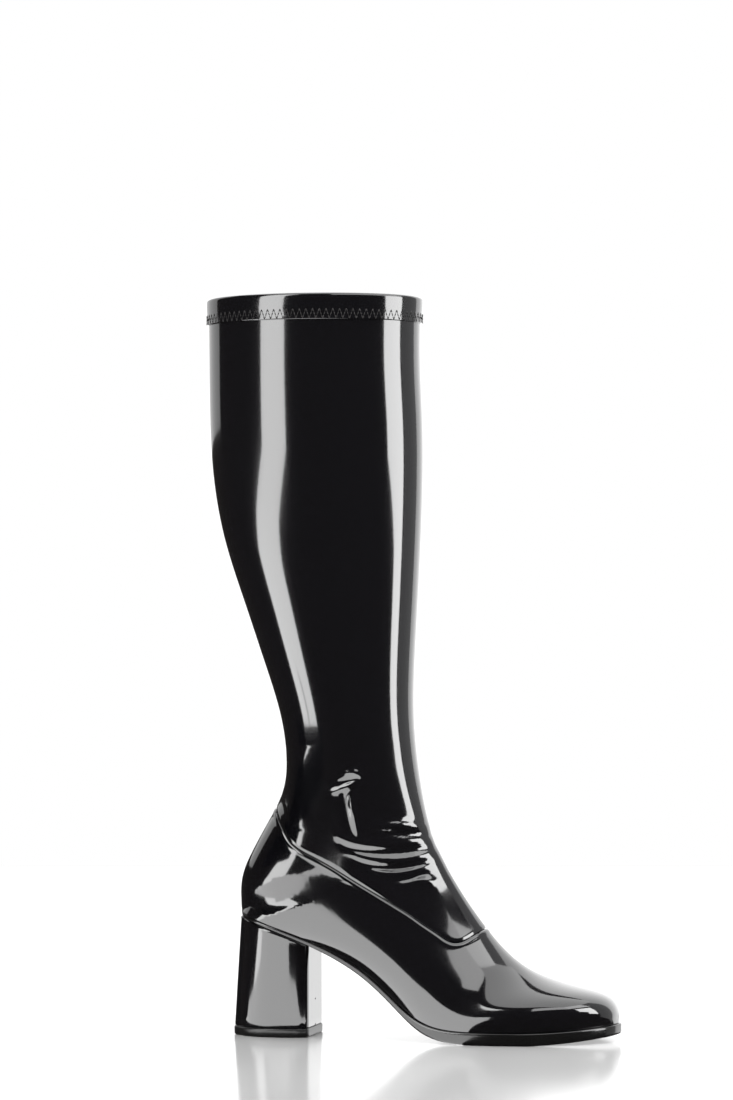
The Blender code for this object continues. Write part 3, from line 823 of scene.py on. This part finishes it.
class BOOT_OT_foot(Operator):
    """Foot panel, vamp and counter in one, from the ankle seam to the sole"""

    bl_idname = "boot.foot"
    bl_label = "Foot panel"

    def execute(self, context):
        form = boot()
        arounds = even_columns(form.around_steps, 0.5 * form.gap)
        first = [seam_row(a, 0.5 * form.gap) for a in arounds]
        last = [LAST_ROW] * len(arounds)
        bm = form_grid(measured_rows(arounds, first, last, graded(FOOT_STEPS)), arounds)
        shape_foot(bm)
        piece = finish_piece(bm, "foot_panel", foot_patent(), ["upper"])
        add_wall(piece, form.upper_wall)
        return {"FINISHED"}


def join_rings(bm, rings, count):
    """Faces between each ring of vertices and the next."""
    for low, high in zip(rings, rings[1:]):
        for j in range(count):
            k = (j + 1) % count
            bm.faces.new((low[j], low[k], high[k], high[j]))


def hem_side(row, around):
    """A place on the collar and the level direction straight out of it."""
    base = boot_point(row, around)
    near = 0.01
    back = around - near if around > near - 1.0 else around - near + 2.0
    ahead = around + near if around < 1.0 - near else around + near - 2.0
    along = boot_point(row, ahead) - boot_point(row, back)
    side = Vector((along.y, -along.x, 0.0)).normalized()
    centre = 0.5 * (boot_point(row, 0.0) + boot_point(row, 1.0))
    if side.dot(base - centre) < 0.0:
        side = -side
    return base, side


def hem_profile():
    """Section of the hem as (out, up) from the rim: outer layer, turn over the rim and inner layer."""
    form = boot()
    hem = bpy.context.scene.boot_hem
    outer = form.gap + hem.layer
    inner = -form.leg_wall - form.gap - hem.layer
    middle = 0.5 * (outer + inner)
    half = 0.5 * (outer - inner)
    profile = [(form.gap, -hem.band)]
    profile += [(outer - inset, -hem.band + up) for inset, up in HEM_EDGE]
    straight = hem.band - HEM_ROUND - half
    for k in range(HEM_RUNS + 1):
        profile.append((outer, -hem.band + HEM_ROUND + straight * k / HEM_RUNS))
    for k in range(1, HEM_ARC):
        angle = math.pi * k / HEM_ARC
        profile.append((middle + half * math.cos(angle), -half + half * math.sin(angle)))
    profile += [(inner, -half), (inner, -hem.band), (inner + hem.layer, -hem.band)]
    profile += [(inner + hem.layer, -HEM_TURN), (form.gap, -HEM_TURN)]
    return profile


class BOOT_OT_hem(Operator):
    """Hem turned over the top of the leg"""

    bl_idname = "boot.hem"
    bl_label = "Turned hem"

    def execute(self, context):
        profile = hem_profile()
        drop = first_row_drop()
        stitch_line = context.scene.boot_hem.stitch_line
        bm = bmesh.new()
        rings = []
        for i in range(HEM_STEPS):
            around = -1.0 + 2.0 * i / HEM_STEPS
            ring = []
            for out, up in profile:
                base, side = hem_side(max(-up, 0.0) / drop, around)
                dent = hump(-up - stitch_line, *STITCH_DENT) if out > 0.0 else 0.0
                ring.append(bm.verts.new(base + side * (out - dent)))
            rings.append(ring)
        join_rings(bm, rings + rings[:1], len(profile))
        bmesh.ops.recalc_face_normals(bm, faces=bm.faces)
        finish_piece(bm, "hem", leg_patent(), ["cuff"])
        return {"FINISHED"}


def zigzag_knots():
    """Places along the zigzag all round the collar, each with the direction straight out of it."""
    hem = bpy.context.scene.boot_hem
    drop = first_row_drop()
    arounds = [-1.0 + 2.0 * i / (2 * HEM_STEPS) for i in range(2 * HEM_STEPS + 1)]
    line = [hem_side(hem.stitch_line / drop, a)[0] for a in arounds]
    lengths = [0.0]
    for before, after in zip(line, line[1:]):
        lengths.append(lengths[-1] + (after - before).length)
    count = round(lengths[-1] / hem.stitch_pitch) * len(ZIGZAG)
    out = boot().gap + hem.layer - THREAD_SUNK
    knots = []
    for k in range(count):
        distance = lengths[-1] * k / count
        around = float(np.interp(distance, lengths, arounds))
        down = hem.stitch_line + hem.stitch_rise * (ZIGZAG[k % len(ZIGZAG)] - 0.5)
        base, side = hem_side(down / drop, around)
        knots.append((base + side * out, side))
    return knots


class BOOT_OT_hem_stitch(Operator):
    """Zigzag stitch that holds the hem"""

    bl_idname = "boot.hem_stitch"
    bl_label = "Hem stitch"

    def execute(self, context):
        half_width, half_height = THREAD
        knots = zigzag_knots()
        bm = bmesh.new()
        for (start, side), (end, _) in zip(knots, knots[1:] + knots[:1]):
            run = end - start
            made = bmesh.ops.create_icosphere(bm, subdivisions=1, radius=1.0)
            along = run.normalized()
            across = along.cross(side).normalized()
            turn = Matrix((along, across, side)).transposed().to_4x4()
            size = Matrix.Diagonal((run.length * THREAD_REACH, half_width, half_height, 1.0))
            place = Matrix.Translation((start + end) * 0.5)
            bmesh.ops.transform(bm, matrix=place @ turn @ size, verts=made["verts"])
        thread = new_material("hem thread", (0.012, 0.010, 0.010), 0.5)
        finish_piece(bm, "hem_stitch", thread, [])
        return {"FINISHED"}


def close_stack(bm, rings, opposite, strips):
    """Joins the rings and closes the first and the last with strips across; opposite faces place 0."""
    count = len(rings[0])
    join_rings(bm, rings, count)
    for ring in (rings[0], rings[-1]):
        for j in range(strips):
            corners = []
            for place in (j, j + 1, (opposite - j - 1) % count, (opposite - j) % count):
                if ring[place] not in corners:
                    corners.append(ring[place])
            if len(corners) > 2:
                bm.faces.new(corners)
    bmesh.ops.recalc_face_normals(bm, faces=bm.faces)


def outline(stations, grow):
    """Plan outline at the feather line, outer side first, grown sideways."""
    rows = [LAST_LEG + (LAST_ROW - LAST_LEG) * (i / (stations - 1)) for i in range(stations)]
    outer = [boot_point(row, -1.0) for row in rows]
    inner = [boot_point(row, 1.0) for row in rows]
    loop = outer + inner[-2:0:-1]
    count = len(loop)
    grown = []
    for j in range(count):
        along = loop[(j + 1) % count] - loop[(j - 1) % count]
        side = Vector((along.y, -along.x)).normalized()
        here = Vector((loop[j].x, loop[j].y))
        grown.append(here + side * grow(share_x(here.x)))
    return grown


def stacked_plate(stations, levels):
    """A closed plate through stacked outlines; a level is (grow, height), functions of the share along."""
    bm = bmesh.new()
    rings = []
    for grow, height in levels:
        ring = []
        for x, y in outline(stations, grow):
            ring.append(bm.verts.new((x, y, height(share_x(x)))))
        rings.append(ring)
    close_stack(bm, rings, len(rings[0]), stations - 1)
    return bm


def sole_top(share):
    return FEATHER_Z.at(share) * boot().height - boot().gap


def sole_bottom(share):
    return max(sole_top(share) - SOLE_THICK.at(share) * bpy.context.scene.boot_sole.edge, 0.0)


def lip(share):
    """How far the sole's edge stands out: tucked in under the heel, proud at the forefoot."""
    rise = min(max((share - LIP_FROM) / LIP_OVER, 0.0), 1.0)
    smooth = rise * rise * (3.0 - 2.0 * rise)
    return -SOLE_TUCK + (bpy.context.scene.boot_sole.lip + SOLE_TUCK) * smooth


class BOOT_OT_sole(Operator):
    """Sole from the toe over the arch to the heel seat"""

    bl_idname = "boot.sole"
    bl_label = "Sole"

    def execute(self, context):
        def level(depth, inset):
            def grow(share):
                return lip(share) - inset

            def height(share):
                high = sole_top(share)
                return high + (sole_bottom(share) - high) * depth

            return grow, height

        bm = stacked_plate(SOLE_STATIONS, [level(depth, inset) for depth, inset in SOLE_PROFILE])
        black = new_material("sole edge", (0.006, 0.006, 0.006), 0.16, coat=0.25)
        finish_piece(bm, "sole", black, ["outsole"])
        return {"FINISHED"}


class BOOT_OT_insole(Operator):
    """Insole with its sock, inside the boot"""

    bl_idname = "boot.insole"
    bl_label = "Insole"

    def execute(self, context):
        form = boot()
        thick = context.scene.boot_sole.insole
        inset = form.upper_wall + form.gap + INSOLE_PLAY

        def level(up, more):
            def grow(share):
                return -inset - more

            def height(share):
                return FEATHER_Z.at(share) * form.height + INSOLE_LIFT + thick * up

            return grow, height

        bm = stacked_plate(INSOLE_STATIONS, [level(up, more) for up, more in INSOLE_PROFILE])
        sock = new_material("sock lining", (0.030, 0.030, 0.030), 0.75)
        finish_piece(bm, "insole_sock", sock, ["insole"])
        return {"FINISHED"}


def heel_outline(up, grow):
    """Heel block outline at this share of its height, 0 at the top piece and 1 at the seat."""
    front = place_x(bpy.context.scene.boot_sole.breast) + grow
    back = place_x(HEEL_LEAN * up) - grow
    width = boot().ball_width

    def half_at(along):
        return FLOOR_HALF.at(along) + (SEAT_HALF.at(along) - FLOOR_HALF.at(along)) * up

    def turned(share):
        return 0.5 - 0.5 * math.cos(math.pi * share)

    first = turned(BACK_START)
    outer = [(front, -BREAST_CORNER * (half_at(0.0) * width + grow))]
    for i in range(HEEL_STEPS):
        along = (turned(BACK_START + (1.0 - BACK_START) * i / (HEEL_STEPS - 1)) - first) / (1.0 - first)
        along = along ** BACK_POWER
        half = max(half_at(along), 0.0) * width + grow if i < HEEL_STEPS - 1 else 0.0
        outer.append((front + (back - front) * along, -half))
    inner = [(x, -y) for x, y in outer[-2::-1]]
    return outer + inner


def heel_stack(levels):
    """A closed block through stacked heel outlines; a level is (share up, grow, height function)."""
    bm = bmesh.new()
    rings = []
    for up, grow, height in levels:
        rings.append([bm.verts.new((x, y, height(x))) for x, y in heel_outline(up, grow)])
    close_stack(bm, rings, len(rings[0]) - 1, HEEL_STEPS)
    return bm


class BOOT_OT_heel(Operator):
    """Covered heel block with a flat breast"""

    bl_idname = "boot.heel"
    bl_label = "Heel block"

    def execute(self, context):
        form = boot()
        low = context.scene.boot_sole.lift + form.gap

        def level(up, grow):
            def height(x):
                seat = sole_bottom(max(share_x(x), 0.0)) - form.gap
                return low + (seat - low) * up

            return up, grow, height

        levels = [level(up, grow) for up, grow in HEEL_LOW + HEEL_MIDDLE + HEEL_HIGH]
        finish_piece(heel_stack(levels), "heel_block", heel_patent(), ["heel"])
        return {"FINISHED"}


class BOOT_OT_pinholes(Operator):
    """Two nail holes in the middle of the heel's breast, each a thin flat dark disc whose colour is painted
    shade standing in for the hollow of the hole
    """

    bl_idname = "boot.pinholes"
    bl_label = "Pinholes"

    def execute(self, context):
        breast = place_x(context.scene.boot_sole.breast)
        bm = bmesh.new()
        for height in PINHOLES:
            bmesh.ops.create_cone(
                bm,
                cap_ends=True,
                segments=20,
                radius1=PINHOLE_RADIUS,
                radius2=PINHOLE_RADIUS,
                depth=PINHOLE_DEPTH,
                matrix=Matrix.Translation((breast, 0.0, height)) @ Matrix.Rotation(math.pi / 2.0, 4, "Y"),
            )
        # Painted shade: a matt near-black disc with no reflection stands in for the shade inside each nail
        # hole
        painted_hole_shade = new_material("pinhole", (0.002, 0.002, 0.002), 0.9, specular=0.0)
        finish_piece(bm, "pinholes", painted_hole_shade, [], smooth=False)
        return {"FINISHED"}


class BOOT_OT_top_piece(Operator):
    """Hard lift under the heel"""

    bl_idname = "boot.top_piece"
    bl_label = "Top piece"

    def execute(self, context):
        lift = context.scene.boot_sole.lift

        def level(z, grow):
            def height(x):
                return z

            return 0.0, grow, height

        levels = [level(up, grow) for up, grow in LIFT_LOW]
        levels += [level(lift - down, grow) for down, grow in LIFT_HIGH]
        rubber = new_material("top piece", (0.012, 0.012, 0.012), 0.28)
        finish_piece(heel_stack(levels), "top_lift", rubber, ["heel_top_piece"])
        return {"FINISHED"}


def emitter(name, strength):
    """A material that only shines, white."""
    material = bpy.data.materials.new(name)
    material.use_nodes = True
    nodes = material.node_tree.nodes
    nodes.clear()
    glow = nodes.new("ShaderNodeEmission")
    glow.inputs["Color"].default_value = (1.0, 1.0, 1.0, 1.0)
    glow.inputs["Strength"].default_value = strength
    leave = nodes.new("ShaderNodeOutputMaterial")
    material.node_tree.links.new(glow.outputs["Emission"], leave.inputs["Surface"])
    return material


def stage_object(bm, name, material):
    made = new_object(bm, name, material)
    return made


def from_camera(right, near, height=0.0):
    """A place given by how far right of the boot and how far nearer it lies, seen from the camera."""
    turn = bpy.context.scene.boot_stage.turn
    to_right = Vector((math.cos(turn), math.sin(turn), 0.0))
    to_camera = Vector((math.sin(turn), -math.cos(turn), 0.0))
    return to_right * right + to_camera * near + Vector((0.0, 0.0, height))


def around_boot(degrees, distance, height=0.0):
    """A place round the boot: 0 is towards the camera, positive to the right of the picture."""
    angle = math.radians(degrees)
    return BOOT_CENTRE + from_camera(math.sin(angle) * distance, math.cos(angle) * distance, height)


def card(name, rows, strength):
    """A panel through rows of two places each, mirrored by the boot but not in the picture itself."""
    bm = bmesh.new()
    for low, high in zip(rows, rows[1:]):
        bm.faces.new([bm.verts.new(place) for place in (low[0], low[1], high[1], high[0])])
    bmesh.ops.remove_doubles(bm, verts=bm.verts, dist=CARD_MERGE)
    made = stage_object(bm, name, emitter(name, strength))
    made.visible_camera = False


def tall_card(name, levels, distance, strength):
    """A tall panel facing the boot; a level is its height and the directions it spans there, in degrees."""
    rows = [(around_boot(low, distance, z), around_boot(high, distance, z)) for z, low, high in levels]
    card(name, rows, strength)


def sweep(name, first, last, foot, strength):
    """A curved panel behind the boot between two directions, from the foot's height up."""
    rows = []
    for i in range(SWEEP_STEPS + 1):
        degrees = first + (last - first) * i / SWEEP_STEPS
        rows.append([around_boot(degrees, SWEEP_DISTANCE, height) for height in (foot, SWEEP_TOP)])
    card(name, rows, strength)


def lay_floor():
    """The pale floor, which the boot itself doesn't mirror."""
    bm = bmesh.new()
    bm.faces.new([bm.verts.new(from_camera(x, y)) for x, y in FLOOR])
    floor = stage_object(bm, "floor", new_material("floor", (0.76, 0.76, 0.76), 0.13))
    floor.visible_glossy = False


def lay_paper(stage):
    """Bright paper in front, with a ragged edge that stands up, seen only in what the boot mirrors."""
    edge_grain, edge_depth = PAPER_RAGGED
    lip_coarse, lip_fine, lip_height = LIP_RAGGED
    edge = []
    for i in range(PAPER_STEPS + 1):
        place = Vector(PAPER_START).lerp(Vector(PAPER_END), i / PAPER_STEPS)
        place.y += edge_depth * noise.noise(place * edge_grain)
        edge.append(from_camera(place.x, place.y))
    drop = Vector((0.0, 0.0, -PAPER_DROP))
    bm = bmesh.new()
    foot = [bm.verts.new(p + drop) for p in edge]
    bm.faces.new(foot + [bm.verts.new(from_camera(x, y) + drop) for x, y in PAPER_BACK])
    head = []
    for p in edge:
        ragged = noise.noise(p * lip_coarse) + 0.5 * noise.noise(p * lip_fine)
        head.append(bm.verts.new(p + Vector((0.0, 0.0, stage.lip + lip_height * ragged))))
    for i in range(PAPER_STEPS):
        bm.faces.new((foot[i], foot[i + 1], head[i + 1], head[i]))
    paper = stage_object(bm, "front paper", emitter("front paper", stage.floor_glow))
    paper.visible_camera = False


def place_camera(stage):
    """A long lens level with the middle of the boot, shifted so that the boot stands low in the picture."""
    data = bpy.data.cameras.new("camera")
    data.lens = stage.lens
    data.sensor_width = 36.0
    data.shift_x, data.shift_y = CAMERA_SHIFT
    data.clip_end = 20.0
    camera = bpy.data.objects.new("camera", data)
    towards = from_camera(0.0, 1.0)
    camera.location = Vector((CAMERA_AIM, 0.0, stage.eye)) + towards * stage.distance
    camera.rotation_euler = (-towards).to_track_quat("-Z", "Y").to_euler()
    bpy.context.scene.collection.objects.link(camera)
    bpy.context.scene.camera = camera


def studio_world():
    """White behind the boot for the camera, dark room in what it mirrors."""
    world = bpy.data.worlds.new("studio")
    world.use_nodes = True
    tree = world.node_tree
    room = tree.nodes["Background"]
    room.inputs["Color"].default_value = (0.030, 0.026, 0.024, 1.0)
    white = tree.nodes.new("ShaderNodeBackground")
    white.inputs["Color"].default_value = (1.0, 1.0, 1.0, 1.0)
    path = tree.nodes.new("ShaderNodeLightPath")
    mix = tree.nodes.new("ShaderNodeMixShader")
    tree.links.new(path.outputs["Is Camera Ray"], mix.inputs["Fac"])
    tree.links.new(room.outputs["Background"], mix.inputs[1])
    tree.links.new(white.outputs["Background"], mix.inputs[2])
    tree.links.new(mix.outputs["Shader"], tree.nodes["World Output"].inputs["Surface"])
    return world


class BOOT_OT_stage(Operator):
    """Pale glossy floor, bright sweep behind, tall lights either side and the camera"""

    bl_idname = "boot.stage"
    bl_label = "Stage"

    def execute(self, context):
        stage = context.scene.boot_stage
        lay_floor()
        lay_paper(stage)
        sweep("sweep", 120.0, 200.0, -0.5, stage.backdrop)
        sweep("sweep side", 200.0, 247.0, 0.42, 0.9)
        tall_card("left softbox", LEFT_SOFTBOX, LIGHT_DISTANCE, 0.8 * stage.softbox)
        tall_card("right softbox", RIGHT_SOFTBOX, LIGHT_DISTANCE, stage.softbox)
        tall_card("side wall", SIDE_WALL, WALL_DISTANCE, 0.45)
        tall_card("front card", FRONT_CARD, LIGHT_DISTANCE, 3.2)
        tall_card("fold card", FOLD_CARD, LIGHT_DISTANCE, 4.0)
        tall_card("flag", FLAG, FLAG_DISTANCE, 0.0)
        across, deep = OVERHEAD
        card("top softbox", [[from_camera(x, y, OVERHEAD_HEIGHT) for x in across] for y in deep], 2.0)
        context.scene.world = studio_world()
        place_camera(stage)
        context.scene.view_settings.view_transform = "Standard"
        return {"FINISHED"}


class BOOT_PT_panel(Panel):
    """Buttons that build the boot piece by piece"""

    bl_idname = "BOOT_PT_panel"
    bl_label = "Go-go boot"
    bl_space_type = "VIEW_3D"
    bl_region_type = "UI"
    bl_category = "Boot"

    def draw(self, context):
        layout = self.layout
        scene = context.scene
        for settings in (scene.boot_form, scene.boot_hem, scene.boot_sole, scene.boot_stage):
            box = layout.box()
            for name in settings.__annotations__:
                box.prop(settings, name)
        for operator in OPERATORS:
            layout.operator(operator.bl_idname)


SETTINGS = (BootSettings, HemSettings, SoleSettings, StageSettings)
OPERATORS = (
    BOOT_OT_leg,
    BOOT_OT_foot,
    BOOT_OT_hem,
    BOOT_OT_hem_stitch,
    BOOT_OT_sole,
    BOOT_OT_insole,
    BOOT_OT_heel,
    BOOT_OT_pinholes,
    BOOT_OT_top_piece,
    BOOT_OT_stage,
)


def register():
    for item in SETTINGS + OPERATORS + (BOOT_PT_panel,):
        bpy.utils.register_class(item)
    bpy.types.Scene.boot_form = PointerProperty(type=BootSettings)
    bpy.types.Scene.boot_hem = PointerProperty(type=HemSettings)
    bpy.types.Scene.boot_sole = PointerProperty(type=SoleSettings)
    bpy.types.Scene.boot_stage = PointerProperty(type=StageSettings)


def unregister():
    del bpy.types.Scene.boot_stage
    del bpy.types.Scene.boot_sole
    del bpy.types.Scene.boot_hem
    del bpy.types.Scene.boot_form
    for item in reversed(SETTINGS + OPERATORS + (BOOT_PT_panel,)):
        bpy.utils.unregister_class(item)


def main():
    register()
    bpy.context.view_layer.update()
    steps = (
        bpy.ops.boot.leg,
        bpy.ops.boot.foot,
        bpy.ops.boot.hem,
        bpy.ops.boot.hem_stitch,
        bpy.ops.boot.sole,
        bpy.ops.boot.insole,
        bpy.ops.boot.heel,
        bpy.ops.boot.pinholes,
        bpy.ops.boot.top_piece,
        bpy.ops.boot.stage,
    )
    for step in steps:
        if step() != {"FINISHED"}:
            raise RuntimeError("a piece wasn't built")


if __name__ == "__main__":
    main()
